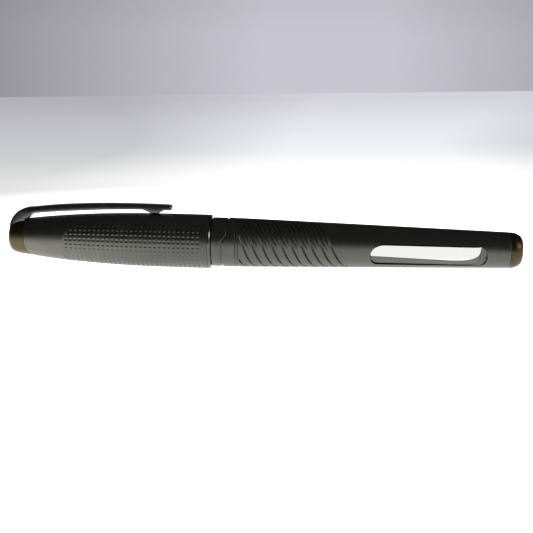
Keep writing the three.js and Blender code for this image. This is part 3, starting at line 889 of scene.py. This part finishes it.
def on_plate(s, v, height):
    """A point at a station, v up the plate and a height along its facing."""
    facing = math.radians(PLATE_FACING)
    side = -height * math.sin(facing) + v * math.cos(facing)
    up = height * math.cos(facing) + v * math.sin(facing)
    return to_frame(s, side, up)


def pocket_tool():
    """The plate's outline with a small gap round it, deep enough to hold the plate."""
    s = plate_stations(POCKET_GAP, 90)
    up, down = plate_half(s, POCKET_GAP, True), -plate_half(s, POCKET_GAP, False)
    loop_s = np.concatenate([s, s[1:-1][::-1]])
    loop_v = np.concatenate([up, down[1:-1][::-1]])
    count = len(loop_s)
    low = on_plate(loop_s, loop_v, np.full(count, POCKET_FLOOR))
    high = on_plate(loop_s, loop_v, np.full(count, 9.0))
    faces = [list(range(count)), list(range(count, 2 * count))[::-1]]
    faces += [[k, k + count, (k + 1) % count + count, (k + 1) % count] for k in range(count)]
    return new_object("tool", np.concatenate([low, high]), faces)


sleeve = barrel_sleeve()
cut(sleeve, pocket_tool(), 19.0)
fit(sleeve, "barrel", ["barrel_shell"], "gunmetal", gunmetal)


def plate():
    """The plate itself: a polished face, and a brushed band and rim."""
    scribed_rows = SCRIBED_STATION + np.array([-0.07, -0.03, 0.0, 0.03, 0.07])
    s = np.unique(np.concatenate([plate_stations(0.0, 120), scribed_rows]))
    s = s[(s > PLATE_START + 0.004) & (s < PLATE_END - 0.004)]
    up, down = plate_half(s, 0, True), -plate_half(s, 0, False)
    middle = np.clip(band_edge(s), down + 0.002, up - 0.002)
    face_cols, band_cols = 22, 12
    t = np.linspace(0, 1, face_cols)
    t2 = np.linspace(0, 1, band_cols)[1:]
    v = np.concatenate(
        [up[:, None] + (middle - up)[:, None] * t, middle[:, None] + (down - middle)[:, None] * t2], axis=1
    )
    grid_s = np.repeat(s[:, None], v.shape[1], axis=1)
    heights = face_height(grid_s, v)
    heights[:, 0] -= 0.05
    heights[:, -1] -= 0.05
    face = on_plate(grid_s, v, heights)
    floor = on_plate(grid_s, v, np.full(v.shape, POCKET_FLOOR + 0.04))
    rows, cols = v.shape
    i, j = np.meshgrid(np.arange(rows - 1), np.arange(cols - 1), indexing="ij")
    a = (i * cols + j).ravel()
    quads = np.stack([a, a + cols, a + cols + 1, a + 1], axis=1)
    under_quads = quads[:, ::-1] + rows * cols
    rim = [k * cols for k in range(rows)] + [(rows - 1) * cols + k for k in range(1, cols)]
    rim += [k * cols + cols - 1 for k in range(rows - 2, -1, -1)] + list(range(cols - 2, 0, -1))
    count = rows * cols
    after = rim[1:] + rim[:1]
    wall = [[here, here + count, there + count, there] for here, there in zip(rim, after)]
    piece = new_object(
        "inlaid_plate", np.concatenate([face.reshape(-1, 3), floor.reshape(-1, 3)]),
        quads.tolist() + under_quads.tolist() + wall, 24.0
    )
    band = (j.ravel() >= face_cols - 1).astype(int)
    fit(piece, "barrel", ["inlay_plate"], "mirror_steel", mirror, plate_bevel)
    index = np.concatenate([band, band, np.ones(len(wall), int)])
    piece.data.polygons.foreach_set("material_index", index)


plate()


def collar():
    """The ring in front of the barrel's sleeve; its rear edge follows the stepped seam."""
    profile = np.array([
        (56.6, 6.42), (56.62, 6.5), (56.66, 6.58), (56.74, 6.63), (57.5, 6.63), (58.3, 6.63), (58.85, 6.63),
        (58.98, 6.6), (59.08, 6.53), (59.14, 6.43), (59.16, 6.36), (59.5, 6.36), (59.5, 5.92), (56.6, 5.92),
    ])
    columns = mirrored(np.linspace(0, 180, 121))
    stations, radii = spun(profile, len(columns))
    follow = np.clip((stations - 56.74) / (58.85 - 56.74), 0, 1)
    return sweep("collar", stations + follow * seam_step(columns)[None, :], radii, columns)


fit(collar(), "barrel", ["front_collar"], "gunmetal", gunmetal)

plug_r = float(barrel_radius(135.9))
fit(
    turned(
        "end_cap",
        [
            (131.0, 2.8), (135.95, 2.8), (135.95, plug_r - 0.03), (136.6, plug_r - 0.03),
            (137.2, plug_r - 0.1), (137.9, 4.45), (138.5, 4.15), (139.0, 3.7), (139.3, 3.1),
        ], None, 0.22, 144
    ),
    "barrel", ["end_plug"], "bronze", bronze,
)
fit(
    turned(
        "front_bush", [(57.0, 5.85), (68.0, 5.85)],
        [(57.0, 4.95), (60.6, 4.95), (60.9, 4.75), (65.1, 4.75), (65.4, 4.95), (68.0, 4.95)], 0.07
    ),
    "barrel", ["barrel_bush"], "turned_brass", brass,
)


# ---- CAD nodes that stay as they are, inside the pen ----

for name, material in (
    ("end_bush", brass), ("refill_spring", spring_steel), ("clip_spring", spring_steel),
    ("clip_carrier", brass), ("clip_pivot_pin", spring_steel), ("ink_reservoir", fibre),
    ("refill_end_plug", refill_plastic),
):
    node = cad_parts[name]
    node.data.materials.clear()
    node.data.materials.append(material)


# ---- Table, lights and camera ----

TABLE_RISE = 0.0321  # rise over run towards the barrel's end
TABLE_REACH = 4.0
# Shares of the table's reach, and the light's colour there.
TABLE_LIGHT = [
    (0.0, (1.12, 1.12, 1.12)), (0.07, (1.12, 1.12, 1.12)), (0.1, (0.97, 0.98, 0.99)),
    (0.125, (0.885, 0.89, 0.92)), (0.225, (0.8, 0.81, 0.85)), (0.5, (0.7, 0.7, 0.75)),
    (1.0, (0.655, 0.65, 0.705)),
]


def table_mesh():
    """A disc of rings, fine near its centre."""
    radii = [0.2, 0.5, 1.0, 2.0, 4.0, 9.0]
    spokes = 96
    points, faces = [(0.0, 0.0, 0.0)], []
    for radius in radii:
        for j in range(spokes):
            a = 2 * math.pi * j / spokes
            points.append((radius * math.cos(a), radius * math.sin(a), 0.0))
    for j in range(spokes):
        after = (j + 1) % spokes
        faces.append((0, 1 + j, 1 + after))
        for k in range(len(radii) - 1):
            a, b = 1 + k * spokes + j, 1 + k * spokes + after
            faces.append((a, a + spokes, b + spokes, b))
    mesh = bpy.data.meshes.new("table")
    mesh.from_pydata(points, [], faces)
    return mesh


def table_finish():
    """Light that fades with distance and to the sides, and is stronger behind the pen and at its crown."""
    finish = Finish("lit_table", (0.06, 0.06, 0.06, 1.0), 0.0, 0.55)
    finish.shader.inputs["Specular IOR Level"].default_value = 0.0
    place = finish.split(finish.place)
    length = finish.node("ShaderNodeVectorMath", operation="LENGTH")
    finish.link(finish.place, length.inputs[0])
    reach = length.outputs["Value"]
    ahead = finish.compute("MAXIMUM", finish.compute("ABSOLUTE", place["Y"]), 0.6)
    lateral = finish.compute("SUBTRACT", finish.compute("DIVIDE", place["X"], ahead), 0.1)
    sides = finish.span(finish.compute("ABSOLUTE", lateral), 1.0, 0.68, 0.1, 0.32)
    front = finish.span(place["Y"], 0.3, 1.0, -0.28, -0.165)
    behind = finish.span(place["Y"], 0.0, 1.0, -0.008, 0.012)
    crown = finish.span(place["X"], 0.72, 0.0, -0.048, -0.012)
    crown = finish.compute("MULTIPLY", crown, finish.span(place["Y"], 0.0, 1.0, -0.07, -0.02))
    near = finish.span(reach, 1.0, 0.0, 0.1, 0.24)
    strong = finish.compute("MULTIPLY", finish.compute("MAXIMUM", behind, crown), near)
    power = finish.compute("MULTIPLY", finish.span(strong, 1.0, 2.25, 0.0, 1.0), sides)
    power = finish.compute("MULTIPLY", power, front)
    colour = finish.ramp(finish.span(reach, 0.0, 1.0, 0.0, TABLE_REACH), TABLE_LIGHT)
    finish.link(power, finish.shader.inputs["Emission Strength"])
    finish.link(colour, finish.shader.inputs["Emission Color"])
    return finish


def luminous_table():
    """A white lit table; it leans with the pen, which rests on its cap's mouth."""
    table = bpy.data.objects.new("table", table_mesh())
    bpy.context.scene.collection.objects.link(table)
    table.location = (-0.014, 0.0, 0.0)
    table.rotation_euler = (0.0, -math.atan(TABLE_RISE), 0.0)
    table.data.materials.append(table_finish().material)


def studio_world():
    """A dark room, faintly lit overhead, with a pale backdrop low behind the pen."""
    world = bpy.data.worlds.new("studio")
    bpy.context.scene.world = world
    world.use_nodes = True
    nodes = Nodes(world.node_tree)
    background = world.node_tree.nodes["Background"]
    direction = nodes.split(nodes.node("ShaderNodeTexCoord").outputs["Generated"])
    behind = nodes.span(direction["Y"], 0.0, 1.0, -0.1, 0.7)
    low = nodes.span(direction["Z"], 0.0, 1.0, 0.45, 0.05)
    overhead = nodes.ramp(direction["Z"], [(0.25, (0.006, 0.006, 0.007)), (0.95, (0.075, 0.076, 0.074))])
    backdrop = nodes.compute("MULTIPLY", behind, low)
    colour = nodes.mix(backdrop, overhead, (0.53, 0.52, 0.58, 1.0))
    strength = nodes.span(nodes.compute("ABSOLUTE", direction["X"]), 1.09, 0.58, 0.06, 0.32)
    nodes.link(colour, background.inputs["Color"])
    nodes.link(strength, background.inputs["Strength"])


def lamp(name, place, aim, size, power, colour):
    light = bpy.data.lights.new(name, "AREA")
    light.shape = "RECTANGLE"
    light.size, light.size_y = size
    light.energy = power
    light.color = colour
    made = bpy.data.objects.new(name, light)
    bpy.context.scene.collection.objects.link(made)
    made.location = place
    made.rotation_euler = (Vector(aim) - Vector(place)).to_track_quat("-Z", "Y").to_euler()


def studio_camera():
    data = bpy.data.cameras.new("camera")
    data.lens = 66.3
    data.sensor_width = 36.0
    data.clip_start = 0.01
    data.clip_end = 30.0
    camera = bpy.data.objects.new("camera", data)
    bpy.context.scene.collection.objects.link(camera)
    bpy.context.scene.camera = camera
    target = Vector((0.0012, 0.0, AXIS_HEIGHT * 0.001))
    distance, azimuth, elevation = 0.2661, math.radians(3.23), math.radians(9.0)
    level = math.cos(elevation)
    back = Vector((math.sin(azimuth) * level, -math.cos(azimuth) * level, math.sin(elevation)))
    aim = (-back).to_track_quat("-Z", "Y").to_matrix()
    tilt = Matrix.Rotation(math.radians(-1.37), 3, "X")
    roll = Matrix.Rotation(math.radians(1.17), 3, "Z")
    camera.rotation_mode = "QUATERNION"
    camera.rotation_quaternion = (aim @ tilt @ roll).to_quaternion()
    camera.location = target + back * distance


luminous_table()
studio_world()
lamp("side_light", (0.62, -0.2, 0.26), (0.0, 0.0, 0.01), (0.16, 0.2), 0.7, (1.0, 0.8, 0.74))
studio_camera()
bpy.context.scene.view_settings.view_transform = "Standard"
bpy.context.scene.view_settings.look = "None"
